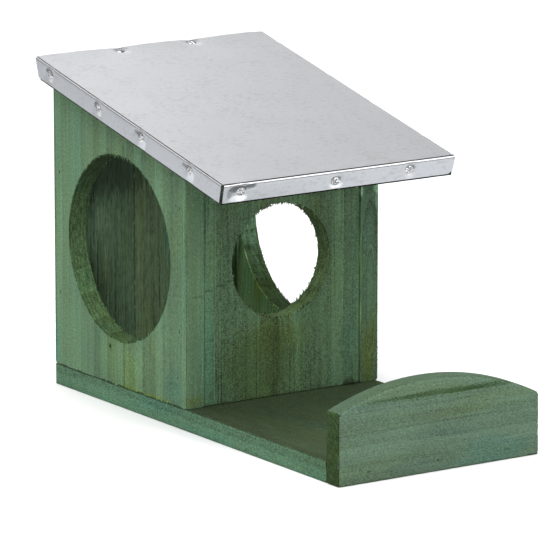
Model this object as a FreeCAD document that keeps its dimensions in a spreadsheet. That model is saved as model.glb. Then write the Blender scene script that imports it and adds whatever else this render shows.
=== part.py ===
import FreeCAD, Part
import Sketcher
import os

# Squirrel feeder box: a wooden box with a round hole in each side and in the front,
# standing on a long base whose open end is a feeding tray closed by a curved lip.
# A sloping roof board overhangs the front and is covered by one folded metal sheet.
#
# Frame: X to the right, Y to the back, Z up, in millimetres. The origin is on the ground,
# under the middle of the whole length. The tray and its lip are towards -Y.

doc = FreeCAD.newDocument("SquirrelFeederBox")
dimensions = doc.addObject("Spreadsheet::Sheet", "Dimensions")

DRIVING_SIZES = {
    # Boards
    "board_thickness": 12.0,
    "arris_chamfer": 0.5,
    "box_width": 127.0,
    "box_depth": 136.0,
    "tray_length": 135.0,
    "front_wall_recess": 0.5,
    # The lip's top is one flat arc whose crown lies a little left of the middle
    "lip_thickness": 12.0,
    "lip_crown_height": 51.5,
    "lip_crown_offset": -4.8,
    "lip_arc_radius": 154.0,
    "lip_left_overhang": 0.5,
    "lip_right_overhang": 2.5,
    # Edge-glued seams of the wall panels
    "side_seam_setback": 63.3,
    "back_seam_offset": -17.8,
    # Round holes, with heights above the base's top face. The left hole is centred in depth
    "side_hole_diameter": 104.5,
    "side_hole_height": 77.8,
    "right_hole_shift_back": 2.0,
    "front_hole_diameter": 64.0,
    "front_hole_height": 75.9,
    "front_hole_offset": -0.9,
    "hanging_hole_diameter": 6.0,
    "hanging_hole_height": 140.0,
    # Roof, whose front height is that of the sheet's fold above the ground
    "roof_slope": 12.5,
    "roof_front_height": 147.0,
    "roof_front_overhang": 55.7,
    "roof_side_overhang": 12.5,
    "roof_board_thickness": 11.0,
    "roof_board_clearance": 0.2,
    "sheet_thickness": 0.6,
    "sheet_bend_radius": 0.6,
    "flange_depth": 10.8,
    "corner_relief": 0.3,
    "flange_back_taper": 6.0,
    "corner_snip_width": 3.0,
    "corner_snip_height": 2.0,
    # Clout nails that hold the sheet: a round flat head on a square shank
    "clout_head_radius": 2.6,
    "clout_head_thickness": 0.9,
    "clout_shank_width": 1.6,
    "clout_length": 16.0,
    "clout_point_length": 2.4,
    "clout_point_flat": 0.2,
    "flange_nail_drop": 4.6,
    "side_nail_run_first": 32.2,
    "side_nail_run_second": 81.1,
    "side_nail_run_third": 126.5,
    "side_nail_back_setback": 15.8,
    "front_nail_left": -63.5,
    "front_nail_middle": -2.3,
    "front_nail_right": 46.5,
    "back_nail_setback": 3.5,
    "back_nail_left": -20.5,
    "back_nail_right": 26.2,
    # Brads that hold the boards together: flat wire with a wider head, driven flush
    "brad_head_width": 1.9,
    "brad_head_depth": 0.8,
    "brad_width": 1.25,
    "brad_thickness": 1.05,
    "brad_length": 30.0,
    "brad_point_chamfer": 0.4,
    "base_brad_end_setback": 16.0,
    "base_brad_spread": 28.0,
    "roof_brad_end_setback": 28.0,
    "wall_brad_low": 54.5,
    "wall_brad_high": 123.0,
    "lip_brad_spread": 45.0,
}

for row, (alias, size) in enumerate(DRIVING_SIZES.items(), start=1):
    dimensions.set(f"A{row}", str(size))
    dimensions.setAlias(f"A{row}", alias)
doc.recompute()


def cell(alias):
    """The expression that reads one driving size."""
    return f"Dimensions.{alias}"


# Derived sizes and places, as expressions of the driving sizes

THICKNESS = cell("board_thickness")
ARRIS = cell("arris_chamfer")
HALF_WIDTH = f"({cell('box_width')} / 2)"
INNER_HALF_WIDTH = f"({HALF_WIDTH} - {THICKNESS})"
SIDE_WALL_MID = f"({HALF_WIDTH} - {THICKNESS} / 2)"
FRONT_WALL_MID = f"({cell('front_wall_recess')} + {THICKNESS} / 2)"
BACK_WALL_MID = f"({cell('box_depth')} - {THICKNESS} / 2)"
MID_DEPTH = f"({cell('box_depth')} / 2)"

# Y of the side walls' front edges, from which every setback is measured
FRONT_Y = f"(({cell('tray_length')} + {cell('lip_thickness')} - {cell('box_depth')}) / 2)"
LIP_FRONT_Y = f"({FRONT_Y} - {cell('tray_length')} - {cell('lip_thickness')})"

SLOPE = cell("roof_slope")
OVERHANG = cell("roof_front_overhang")
SHEET = cell("sheet_thickness")
FOLD = f"({SHEET} + {cell('sheet_bend_radius')})"
FLANGE = cell("flange_depth")
HALF_ROOF_WIDTH = f"({HALF_WIDTH} + {cell('roof_side_overhang')})"
ROOF_BUILD_UP = f"({SHEET} + {cell('roof_board_thickness')})"

# Length up the slope, ending where the board's square-cut lower arris meets the back face
ROOF_RUN = f"(({cell('box_depth')} + {OVERHANG} - {ROOF_BUILD_UP} * sin({SLOPE})) / cos({SLOPE}))"


def roof_underside(setback):
    """Height of the roof board's underside at a setback behind the front edges."""
    rise = f"({setback} + {OVERHANG}) * tan({SLOPE})"
    return f"({cell('roof_front_height')} + {rise} - {ROOF_BUILD_UP} / cos({SLOPE}))"


def roof_point(run, drop):
    """Y and Z of a point, from its run up the slope and its drop below the sheet's top."""
    y = f"{FRONT_Y} - {OVERHANG} + {run} * cos({SLOPE}) + {drop} * sin({SLOPE})"
    z = f"{cell('roof_front_height')} + {run} * sin({SLOPE}) - {drop} * cos({SLOPE})"
    return y, z


# Helpers that place, sketch and shape

X_AXIS = FreeCAD.Vector(1, 0, 0)
Y_AXIS = FreeCAD.Vector(0, 1, 0)
NORMAL = FreeCAD.Vector(0, 0, 1)
TOLERANCE = 1e-4

# How far a cutting outline runs past the metal that it cuts
MARGIN = "1"


def place(item, x="0", y="0", z="0", axis=None, angle="0"):
    """Bind an object's placement to expressions."""
    if axis is not None:
        item.Placement = FreeCAD.Placement(FreeCAD.Vector(), FreeCAD.Rotation(axis, 1))
        item.setExpression("Placement.Rotation.Angle", angle)
    item.setExpression("Placement.Base.x", x)
    item.setExpression("Placement.Base.y", y)
    item.setExpression("Placement.Base.z", z)


def new_sketch(body, name, plane_role):
    """An empty sketch on one of its own body's origin planes."""
    plane = next(item for item in body.Origin.OriginFeatures if item.Role == plane_role)
    sketch = body.newObject("Sketcher::SketchObject", name)
    sketch.AttachmentSupport = [(plane, "")]
    sketch.MapMode = "FlatFace"
    return sketch


def fix_point(sketch, geometry, end, x, y):
    """Hold one point of a sketch at two expressions, measured from the sketch origin."""
    across = sketch.addConstraint(Sketcher.Constraint("DistanceX", -1, 1, geometry, end, 1.0))
    sketch.setExpression(f"Constraints[{across}]", x)
    upwards = sketch.addConstraint(Sketcher.Constraint("DistanceY", -1, 1, geometry, end, 1.0))
    sketch.setExpression(f"Constraints[{upwards}]", y)


def outline(body, name, plane_role, corners):
    """A closed straight-sided sketch through corners given as pairs of expressions."""
    sketch = new_sketch(body, name, plane_role)
    count = len(corners)
    ring = Part.makeCircle(10.0).discretize(count + 1)
    for start, finish in zip(ring[:-1], ring[1:]):
        sketch.addGeometry(Part.LineSegment(start, finish), False)
    for index, (x, y) in enumerate(corners):
        sketch.addConstraint(Sketcher.Constraint("Coincident", index, 1, (index - 1) % count, 2))
        fix_point(sketch, index, 1, x, y)
    return sketch


def rectangle(body, name, plane_role, left, right, low, high):
    corners = [(left, low), (right, low), (right, high), (left, high)]
    return outline(body, name, plane_role, corners)


def circle(body, name, plane_role, x, y, diameter):
    sketch = new_sketch(body, name, plane_role)
    sketch.addGeometry(Part.Circle(FreeCAD.Vector(), NORMAL, 10.0), False)
    rim = sketch.addConstraint(Sketcher.Constraint("Diameter", 0, 20.0))
    sketch.setExpression(f"Constraints[{rim}]", diameter)
    fix_point(sketch, 0, 3, x, y)
    return sketch


def pad(body, name, sketch, length, both_ways=True, reverse=False):
    feature = body.newObject("PartDesign::Pad", name)
    feature.Profile = sketch
    feature.SideType = "Symmetric" if both_ways else "One side"
    feature.Reversed = reverse
    feature.setExpression("Length", length)
    return feature


def pocket_through(body, name, sketch):
    """Cut a sketch right through, both ways from its plane, and check that it cut."""
    doc.recompute()
    volume_before = body.Shape.Volume
    feature = body.newObject("PartDesign::Pocket", name)
    feature.Profile = sketch
    feature.SideType = "Symmetric"
    feature.Type = "ThroughAll"
    doc.recompute()
    assert body.Shape.Volume < volume_before - TOLERANCE, f"{name} cut nothing"


def dress_edges(body, kind, name, size, wanted):
    """Fillet or chamfer the edges of the body's tip that the test picks out."""
    doc.recompute()
    tip = body.Tip
    picked = [f"Edge{index}" for index, edge in enumerate(tip.Shape.Edges, start=1) if wanted(edge)]
    assert picked, f"{name} found no edge"
    feature = body.newObject(f"PartDesign::{kind}", name)
    feature.Base = (tip, picked)
    feature.setExpression("Radius" if kind == "Fillet" else "Size", size)
    return feature


def break_arrises(body, name, wanted=lambda edge: True):
    """Take the sharp corners off a board's edges."""
    dress_edges(body, "Chamfer", f"{name}_arrises", ARRIS, wanted)


def lies_on(edge, axis, value):
    """True where both ends of the edge lie in the plane axis = value of its body."""
    return all(abs(getattr(vertex.Point, axis) - value) < TOLERANCE for vertex in edge.Vertexes)


# Fasteners: one master of each kind, then links to it gathered into named groups


def driven_pin(body, kind, width, thickness, length):
    """A straight shank of rectangular section, from z = 0 down."""
    sketch = rectangle(
        body,
        f"{kind}_section",
        "XY_Plane",
        f"-{width} / 2",
        f"{width} / 2",
        f"-{thickness} / 2",
        f"{thickness} / 2",
    )
    pad(body, f"{kind}_pad", sketch, length, both_ways=False, reverse=True)


def clout_master():
    """A clout nail that points down, the underside of its head at z = 0."""
    body = doc.addObject("PartDesign::Body", "clout_nail_master")
    across = f"2 * {cell('clout_head_radius')}"
    head = circle(body, "clout_head_outline", "XY_Plane", "0", "0", across)
    pad(body, "clout_head", head, cell("clout_head_thickness"), both_ways=False)
    width = cell("clout_shank_width")
    driven_pin(body, "clout_shank", width, width, cell("clout_length"))
    tip = -DRIVING_SIZES["clout_length"]
    narrowing = f"({width} - {cell('clout_point_flat')}) / 2"
    length = cell("clout_point_length")
    point = dress_edges(body, "Chamfer", "clout_point", length, lambda edge: lies_on(edge, "z", tip))
    point.ChamferType = "Two distances"
    point.setExpression("Size2", narrowing)
    return body


def brad_master():
    """A brad that points down, its head sunk flush with z = 0, its tip a chisel."""
    body = doc.addObject("PartDesign::Body", "brad_master")
    thickness = cell("brad_thickness")
    driven_pin(body, "brad_head", cell("brad_head_width"), thickness, cell("brad_head_depth"))
    driven_pin(body, "brad_shank", cell("brad_width"), thickness, cell("brad_length"))
    tip = -DRIVING_SIZES["brad_length"]
    half_thick = DRIVING_SIZES["brad_thickness"] / 2

    def at_tip(edge):
        on_a_face = lies_on(edge, "y", half_thick) or lies_on(edge, "y", -half_thick)
        return lies_on(edge, "z", tip) and on_a_face

    dress_edges(body, "Chamfer", "brad_point", cell("brad_point_chamfer"), at_tip)
    return body


def fastener_group(name, master, spots):
    """A group of separate fasteners, each a link to the master at its own place."""
    links = []
    for index, spot in enumerate(spots, start=1):
        link = doc.addObject("App::Link", f"{name}_{index}")
        link.LinkedObject = master
        link.LinkTransform = False
        place(link, **spot)
        links.append(link)
    group = doc.addObject("Part::Compound", name)
    group.Links = links
    return group


def side_flange_spots(side):
    """Through a side flange, square to it, into the roof board's edge."""
    runs = [cell(f"side_nail_run_{order}") for order in ("first", "second", "third")]
    runs.append(f"({ROOF_RUN} - {cell('side_nail_back_setback')})")
    spots = []
    for run in runs:
        y, z = roof_point(run, cell("flange_nail_drop"))
        spots.append(dict(x=f"{side} * {HALF_ROOF_WIDTH}", y=y, z=z, axis=Y_AXIS, angle=f"{side} * 90"))
    return spots


def front_flange_spots():
    """Through the front flange, square to it, into the roof board's front edge."""
    y, z = roof_point("0", cell("flange_nail_drop"))
    angle = f"90 + {SLOPE}"
    orders = ("left", "middle", "right")
    return [dict(x=cell(f"front_nail_{order}"), y=y, z=z, axis=X_AXIS, angle=angle) for order in orders]


def roof_back_spots():
    """Down through the sheet near its back edge, into the back wall's top."""
    y, z = roof_point(f"({ROOF_RUN} - {cell('back_nail_setback')})", "0")
    orders = ("left", "right")
    return [dict(x=cell(f"back_nail_{order}"), y=y, z=z, axis=X_AXIS, angle=SLOPE) for order in orders]


def roof_board_spots(side):
    """Down through the roof board into a side wall's top, under the sheet."""
    end = cell("roof_brad_end_setback")
    spots = []
    for setback in (end, f"({cell('box_depth')} - {end})"):
        y, z = roof_point(f"(({setback} + {OVERHANG}) / cos({SLOPE}))", SHEET)
        spots.append(dict(x=f"{side} * {SIDE_WALL_MID}", y=y, z=z, axis=X_AXIS, angle=SLOPE))
    return spots


def base_side_spots(side):
    """Up through the base into a side wall, near its ends and under its hole."""
    end = cell("base_brad_end_setback")
    setbacks = (end, MID_DEPTH, f"{cell('box_depth')} - {end}")
    x = f"{side} * {SIDE_WALL_MID}"
    return [dict(x=x, y=f"{FRONT_Y} + {setback}", axis=X_AXIS, angle="180") for setback in setbacks]


def base_end_spots(wall_mid):
    """Up through the base into the front or the back wall."""
    spread = cell("base_brad_spread")
    y = f"{FRONT_Y} + {wall_mid}"
    return [dict(x=f"{side} * {spread}", y=y, axis=X_AXIS, angle="180") for side in (-1, 1)]


def wall_brads(name, side, wall_mid):
    """Through a side wall into the end of the front or the back wall."""
    x = f"{side} * {HALF_WIDTH}"
    y = f"{FRONT_Y} + {wall_mid}"
    angle = f"{side} * 90"
    heights = (cell("wall_brad_low"), cell("wall_brad_high"))
    spots = [dict(x=x, y=y, z=height, axis=Y_AXIS, angle=angle) for height in heights]
    return fastener_group(name, brad, spots)


def lip_spots():
    """Through the lip into the base's front end."""
    spread = cell("lip_brad_spread")
    z = f"{THICKNESS} / 2"
    return [dict(x=f"{side} * {spread}", y=LIP_FRONT_Y, z=z, axis=X_AXIS, angle="90") for side in (-1, 0, 1)]


# Boards, each a blank until its fasteners are driven


def base_board_blank():
    """The long floor: under the box at the back, the tray's floor in front."""
    body = doc.addObject("PartDesign::Body", "base_board_blank")
    front = f"-{cell('tray_length')}"
    back = cell("box_depth")
    sketch = rectangle(body, "base_board_plan", "XY_Plane", f"-{HALF_WIDTH}", HALF_WIDTH, front, back)
    pad(body, "base_board_pad", sketch, THICKNESS, both_ways=False)
    break_arrises(body, "base_board")
    place(body, y=FRONT_Y)
    return body


def tray_lip_blank():
    """The lip across the tray's end: square below, one flat arc on top."""
    body = doc.addObject("PartDesign::Body", "tray_lip_blank")
    sketch = new_sketch(body, "tray_lip_outline", "XZ_Plane")
    low_left = FreeCAD.Vector(-60, 0, 0)
    low_right = FreeCAD.Vector(60, 0, 0)
    top_left = FreeCAD.Vector(-60, 40, 0)
    top_right = FreeCAD.Vector(60, 40, 0)
    crown = FreeCAD.Vector(0, 50, 0)
    left_line, low_line, right_line, top_arc = range(4)
    sketch.addGeometry(Part.LineSegment(top_left, low_left), False)
    sketch.addGeometry(Part.LineSegment(low_left, low_right), False)
    sketch.addGeometry(Part.LineSegment(low_right, top_right), False)
    sketch.addGeometry(Part.Arc(top_right, crown, top_left), False)
    sketch.addConstraint(Sketcher.Constraint("Coincident", left_line, 2, low_line, 1))
    sketch.addConstraint(Sketcher.Constraint("Coincident", low_line, 2, right_line, 1))
    sketch.addConstraint(Sketcher.Constraint("Coincident", right_line, 2, top_arc, 1))
    sketch.addConstraint(Sketcher.Constraint("Coincident", top_arc, 2, left_line, 1))
    sketch.addConstraint(Sketcher.Constraint("Vertical", left_line))
    sketch.addConstraint(Sketcher.Constraint("Vertical", right_line))
    fix_point(sketch, low_line, 1, f"-{HALF_WIDTH} - {cell('lip_left_overhang')}", "0")
    fix_point(sketch, low_line, 2, f"{HALF_WIDTH} + {cell('lip_right_overhang')}", "0")
    bend = sketch.addConstraint(Sketcher.Constraint("Radius", top_arc, 150.0))
    sketch.setExpression(f"Constraints[{bend}]", cell("lip_arc_radius"))
    centre_height = f"{cell('lip_crown_height')} - {cell('lip_arc_radius')}"
    fix_point(sketch, top_arc, 3, cell("lip_crown_offset"), centre_height)
    pad(body, "tray_lip_pad", sketch, cell("lip_thickness"))
    break_arrises(body, "tray_lip")
    place(body, y=f"{LIP_FRONT_Y} + {cell('lip_thickness')} / 2")
    return body


def wall_profile(body, name, near, far):
    """A wall seen from the side, from the base up to the sloping roof board."""
    corners = [
        (near, THICKNESS),
        (far, THICKNESS),
        (far, roof_underside(far)),
        (near, roof_underside(near)),
    ]
    return outline(body, f"{name}_profile", "YZ_Plane", corners)


def side_strip_blank(name, side, near, far):
    """One of the two edge-glued strips of a side wall, with its share of the hole."""
    body = doc.addObject("PartDesign::Body", f"{name}_blank")
    pad(body, f"{name}_pad", wall_profile(body, name, near, far), THICKNESS)
    seam = DRIVING_SIZES["side_seam_setback"]
    break_arrises(body, name, lambda edge: not lies_on(edge, "y", seam))
    centre = MID_DEPTH if side < 0 else f"({MID_DEPTH} + {cell('right_hole_shift_back')})"
    hole = circle(
        body,
        f"{name}_hole_outline",
        "YZ_Plane",
        centre,
        f"{THICKNESS} + {cell('side_hole_height')}",
        cell("side_hole_diameter"),
    )
    pocket_through(body, f"{name}_hole", hole)
    place(body, x=f"{side} * {SIDE_WALL_MID}", y=FRONT_Y)
    return body


def front_wall_blank():
    """The front wall between the side walls, with its round hole."""
    body = doc.addObject("PartDesign::Body", "front_wall_blank")
    near = cell("front_wall_recess")
    profile = wall_profile(body, "front_wall", near, f"({near} + {THICKNESS})")
    pad(body, "front_wall_pad", profile, f"2 * {INNER_HALF_WIDTH}")
    break_arrises(body, "front_wall")
    offset = cell("front_hole_offset")
    height = f"{THICKNESS} + {cell('front_hole_height')}"
    across = cell("front_hole_diameter")
    hole = circle(body, "front_wall_hole_outline", "XZ_Plane", offset, height, across)
    pocket_through(body, "front_wall_hole", hole)
    place(body, y=FRONT_Y)
    return body


def back_strip_blank(name, left, right, seam_side):
    """One of the two edge-glued strips of the back wall."""
    body = doc.addObject("PartDesign::Body", f"{name}_blank")
    near = f"({cell('box_depth')} - {THICKNESS})"
    profile = wall_profile(body, name, near, cell("box_depth"))
    pad(body, f"{name}_pad", profile, f"{right} - {left}")
    doc.recompute()
    seam = seam_side * body.Shape.BoundBox.XMax
    break_arrises(body, name, lambda edge: not lies_on(edge, "x", seam))
    place(body, x=f"({left} + {right}) / 2", y=FRONT_Y)
    return body


def drill_hanging_hole(body, centre_x):
    """The hole in the back wall for a hook or a screw, on the box's centre line."""
    height = f"{THICKNESS} + {cell('hanging_hole_height')}"
    hole = circle(body, "hanging_hole_outline", "XZ_Plane", centre_x, height, cell("hanging_hole_diameter"))
    pocket_through(body, "hanging_hole", hole)


def roof_board_blank():
    """The roof board, square-cut at its ends and laid on the sloping wall tops."""
    body = doc.addObject("PartDesign::Body", "roof_board_blank")
    fold_clearance = f"({SHEET} + {cell('roof_board_clearance')})"
    half = f"({HALF_ROOF_WIDTH} - {fold_clearance})"
    sketch = rectangle(body, "roof_board_plan", "XY_Plane", f"-{half}", half, fold_clearance, ROOF_RUN)
    pad(body, "roof_board_pad", sketch, cell("roof_board_thickness"), both_ways=False, reverse=True)
    break_arrises(body, "roof_board")
    y, z = roof_point("0", SHEET)
    place(body, y=y, z=z, axis=X_AXIS, angle=SLOPE)
    return body


# The metal sheet


def roof_sheet_blank():
    """The sheet, folded down over the roof board's sides and front, open at the back."""
    body = doc.addObject("PartDesign::Body", "roof_sheet_blank")
    half = HALF_ROOF_WIDTH
    inner = f"({half} - {SHEET})"
    channel = [
        (f"-{half}", f"-{FLANGE}"),
        (f"-{inner}", f"-{FLANGE}"),
        (f"-{inner}", f"-{SHEET}"),
        (inner, f"-{SHEET}"),
        (inner, f"-{FLANGE}"),
        (half, f"-{FLANGE}"),
        (half, "0"),
        (f"-{half}", "0"),
    ]
    section = outline(body, "roof_sheet_channel", "XZ_Plane", channel)
    pad(body, "roof_sheet_channel_pad", section, ROOF_RUN, both_ways=False, reverse=True)
    cut_front_corners(body)
    add_front_flange(body)
    bend_folds(body)
    taper_flange_ends(body)
    snip_corner(body)
    y, z = roof_point("0", "0")
    place(body, y=y, z=z, axis=X_AXIS, angle=SLOPE)
    return body


def cut_front_corners(body):
    """Notch the front corners past both folds, so that the flanges fold without meeting."""
    inner = f"({HALF_ROOF_WIDTH} - {FOLD})"
    outer = f"({HALF_ROOF_WIDTH} + {MARGIN})"
    back = f"({FOLD} + {cell('corner_relief')})"
    for side, name in ((-1, "left"), (1, "right")):
        near = f"{side} * {inner}"
        far = f"{side} * {outer}"
        notch = rectangle(body, f"{name}_corner_plan", "XY_Plane", near, far, f"-{MARGIN}", back)
        pocket_through(body, f"{name}_corner_cut", notch)


def add_front_flange(body):
    """The front flange, square to the top and as wide as the sheet between its corner notches."""
    section = rectangle(body, "front_flange_section", "YZ_Plane", "0", SHEET, f"-{FLANGE}", "0")
    pad(body, "front_flange_pad", section, f"2 * ({HALF_ROOF_WIDTH} - {FOLD})")


def bend_folds(body):
    """Round the three folds inside and outside."""
    doc.recompute()
    half = body.Shape.BoundBox.XMax
    sheet = DRIVING_SIZES["sheet_thickness"]

    def outer_fold(edge):
        along_side = lies_on(edge, "x", half) or lies_on(edge, "x", -half)
        along_front = lies_on(edge, "y", 0.0)
        return lies_on(edge, "z", 0.0) and (along_side or along_front)

    def inner_fold(edge):
        along_side = lies_on(edge, "x", half - sheet) or lies_on(edge, "x", sheet - half)
        along_front = lies_on(edge, "y", sheet)
        return lies_on(edge, "z", -sheet) and (along_side or along_front)

    dress_edges(body, "Fillet", "inner_bends", cell("sheet_bend_radius"), inner_fold)
    dress_edges(body, "Fillet", "outer_bends", FOLD, outer_fold)


def taper_flange_ends(body):
    """Trim the side flanges' back ends aslant, so that they clear the wall behind."""
    top = f"-{FOLD}"
    low = f"-{FLANGE} - {MARGIN}"
    beyond = f"{ROOF_RUN} + {MARGIN}"
    corners = [
        (ROOF_RUN, top),
        (f"{ROOF_RUN} - {cell('flange_back_taper')}", low),
        (beyond, low),
        (beyond, top),
    ]
    pocket_through(body, "flange_back_taper_cut", outline(body, "flange_back_taper", "YZ_Plane", corners))


def snip_corner(body):
    """The front flange's lower right corner, snipped off."""
    right = f"({HALF_ROOF_WIDTH} - {FOLD})"
    corners = [
        (right, f"-{FLANGE} + {cell('corner_snip_height')}"),
        (f"{right} - {cell('corner_snip_width')}", f"-{FLANGE}"),
        (right, f"-{FLANGE}"),
    ]
    pocket_through(body, "corner_snip_cut", outline(body, "corner_snip", "XZ_Plane", corners))


def drive(name, blank, groups):
    """A piece with its nail holes: the blank less every fastener driven into it."""
    fasteners = doc.addObject("Part::Compound", f"{name}_fasteners")
    fasteners.Links = groups
    piece = doc.addObject("Part::Cut", name)
    piece.Base = blank
    piece.Tool = fasteners
    return piece


# The nails and brads

clout = clout_master()
brad = brad_master()

sheet_nails_left = fastener_group("sheet_nails_left", clout, side_flange_spots(-1))
sheet_nails_right = fastener_group("sheet_nails_right", clout, side_flange_spots(1))
sheet_nails_front = fastener_group("sheet_nails_front", clout, front_flange_spots())
sheet_nails_back = fastener_group("sheet_nails_back", clout, roof_back_spots())
roof_board_brads_left = fastener_group("roof_board_brads_left", brad, roof_board_spots(-1))
roof_board_brads_right = fastener_group("roof_board_brads_right", brad, roof_board_spots(1))
base_brads_left = fastener_group("base_brads_left", brad, base_side_spots(-1))
base_brads_right = fastener_group("base_brads_right", brad, base_side_spots(1))
base_brads_front = fastener_group("base_brads_front", brad, base_end_spots(FRONT_WALL_MID))
base_brads_back = fastener_group("base_brads_back", brad, base_end_spots(BACK_WALL_MID))
lip_brads = fastener_group("lip_brads", brad, lip_spots())

front_wall_brads_left = wall_brads("front_wall_brads_left", -1, FRONT_WALL_MID)
front_wall_brads_right = wall_brads("front_wall_brads_right", 1, FRONT_WALL_MID)
back_wall_brads_left = wall_brads("back_wall_brads_left", -1, BACK_WALL_MID)
back_wall_brads_right = wall_brads("back_wall_brads_right", 1, BACK_WALL_MID)

sheet_nails = [sheet_nails_left, sheet_nails_right, sheet_nails_front, sheet_nails_back]
roof_board_brads = [roof_board_brads_left, roof_board_brads_right]
base_brads = [base_brads_left, base_brads_right, base_brads_front, base_brads_back]
front_wall_brads = [front_wall_brads_left, front_wall_brads_right]
back_wall_brads = [back_wall_brads_left, back_wall_brads_right]

# The boards and the sheet, with their fasteners driven

SEAM = cell("side_seam_setback")
BACK_SEAM = cell("back_seam_offset")

base_board = drive("base_board", base_board_blank(), base_brads + [lip_brads])
tray_lip = drive("tray_lip", tray_lip_blank(), [lip_brads])

side_strips = []
for side, side_name, roof_brads, floor_brads, front_brads, back_brads in (
    (-1, "left", roof_board_brads_left, base_brads_left, front_wall_brads_left, back_wall_brads_left),
    (1, "right", roof_board_brads_right, base_brads_right, front_wall_brads_right, back_wall_brads_right),
):
    front_strip = f"{side_name}_wall_front_strip"
    back_strip = f"{side_name}_wall_back_strip"
    front_blank = side_strip_blank(front_strip, side, "0", SEAM)
    back_blank = side_strip_blank(back_strip, side, SEAM, cell("box_depth"))
    side_strips.append(drive(front_strip, front_blank, [roof_brads, floor_brads, front_brads]))
    side_strips.append(drive(back_strip, back_blank, [roof_brads, floor_brads, back_brads]))

front_wall = drive("front_wall", front_wall_blank(), [base_brads_front] + front_wall_brads)

back_left_blank = back_strip_blank("back_wall_left_strip", f"-{INNER_HALF_WIDTH}", BACK_SEAM, 1)
back_right_blank = back_strip_blank("back_wall_right_strip", BACK_SEAM, INNER_HALF_WIDTH, -1)
drill_hanging_hole(back_right_blank, f"-({BACK_SEAM} + {INNER_HALF_WIDTH}) / 2")
back_wall_fasteners = [base_brads_back, sheet_nails_back] + back_wall_brads
back_strips = [
    drive("back_wall_left_strip", back_left_blank, back_wall_fasteners),
    drive("back_wall_right_strip", back_right_blank, back_wall_fasteners),
]

roof_board = drive("roof_board", roof_board_blank(), sheet_nails + roof_board_brads)
roof_sheet = drive("roof_sheet", roof_sheet_blank(), sheet_nails)

boards = [base_board, tray_lip, front_wall, roof_board] + side_strips + back_strips
fastener_groups = sheet_nails + roof_board_brads + base_brads + front_wall_brads + back_wall_brads
fastener_groups.append(lip_brads)
sub_parts = boards + [roof_sheet] + fastener_groups

doc.recompute()

# Check everything before anything is written

for item in doc.Objects:
    failed = {"Invalid", "Error"} & set(item.State)
    assert not failed, f"{item.Label} is {failed}"

for piece in sub_parts:
    shape = piece.Shape
    assert not shape.isNull(), f"{piece.Label} has no shape"
    assert shape.isValid(), f"{piece.Label} has a faulty shape"
    expected = len(piece.Links) if piece in fastener_groups else 1
    assert len(shape.Solids) == expected, f"{piece.Label} has {len(shape.Solids)} solids"

os.makedirs("parts", exist_ok=True)
for piece in sub_parts:
    piece.Shape.exportStep(f"parts/{piece.Label}.step")
    box = piece.Shape.BoundBox
    low = f"{box.XMin:8.2f} {box.YMin:8.2f} {box.ZMin:8.2f}"
    high = f"{box.XMax:8.2f} {box.YMax:8.2f} {box.ZMax:8.2f}"
    print(f"{piece.Label:26s} {len(piece.Shape.Solids):2d} {piece.Shape.Volume:10.1f}  {low}  {high}")
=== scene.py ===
import math
import random

import bmesh
import bpy
from mathutils import Matrix, Vector, noise


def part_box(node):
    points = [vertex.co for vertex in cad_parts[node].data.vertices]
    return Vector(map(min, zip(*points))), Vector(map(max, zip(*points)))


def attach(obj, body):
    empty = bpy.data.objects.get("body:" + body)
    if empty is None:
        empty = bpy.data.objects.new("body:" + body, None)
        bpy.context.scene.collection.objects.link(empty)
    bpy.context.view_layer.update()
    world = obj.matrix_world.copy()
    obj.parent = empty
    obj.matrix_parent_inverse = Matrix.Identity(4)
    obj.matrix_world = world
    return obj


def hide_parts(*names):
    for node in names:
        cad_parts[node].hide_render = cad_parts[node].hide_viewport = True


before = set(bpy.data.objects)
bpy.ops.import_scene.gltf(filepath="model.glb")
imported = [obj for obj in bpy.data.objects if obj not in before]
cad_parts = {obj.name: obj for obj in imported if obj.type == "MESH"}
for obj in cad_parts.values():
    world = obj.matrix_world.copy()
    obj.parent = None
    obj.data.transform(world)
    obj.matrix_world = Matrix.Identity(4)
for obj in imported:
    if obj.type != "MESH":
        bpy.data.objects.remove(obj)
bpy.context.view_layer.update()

# Squirrel feeder box: green-stained boards around a box with round holes, on a long base
# closed by a curved lip, under a folded galvanised sheet on a sloping roof board.
# Lengths are in metres, X to the right, Y to the back and Z up, as in the frame.

MM = 0.001
X, Y, Z = 0, 1, 2
AXIS_LETTERS = "XYZ"

# Wood
ARRIS = 0.5 * MM
ARRIS_SEGMENTS = 2
SHARP = math.radians(60)
BOARD_CELL = 1.5 * MM
SEAM_GROOVE = 0.22 * MM

# Round holes, with heights above the base board's top
SIDE_HOLE_RADIUS = 52.25 * MM
SIDE_HOLE_HEIGHT = 77.8 * MM
FRONT_HOLE_RADIUS = 32 * MM
FRONT_HOLE_HEIGHT = 75.9 * MM
FRONT_HOLE_OFFSET = -0.9 * MM
RIGHT_HOLE_SHIFT_BACK = 2 * MM
HANGING_HOLE_RADIUS = 3 * MM
HANGING_HOLE_HEIGHT = 140 * MM

# The lip's arc, and how soft its top and its other arrises are
LIP_CROWN_OFFSET = -4.8 * MM
LIP_ARC_RADIUS = 154 * MM
LIP_TOP_SOFTNESS = 2.2 * MM
LIP_ARRIS = 0.9 * MM

# The roof's slope and the sheet's section
ROOF_SLOPE = math.radians(12.5)
SHEET = 0.6 * MM
FOLD = 1.2 * MM
FRONT_FOLD = 1.7 * MM
FOLD_STEPS = 6
FLANGE = 10.8 * MM
FLANGE_SHOWN = 10.35 * MM
CORNER_EAR = 1.0 * MM
CORNER_RELIEF = 0.1 * MM
CORNER_SNIP = 2 * MM
SHEET_CELL = 1.5 * MM
SHEET_LIFT = 0.66 * MM

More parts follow.
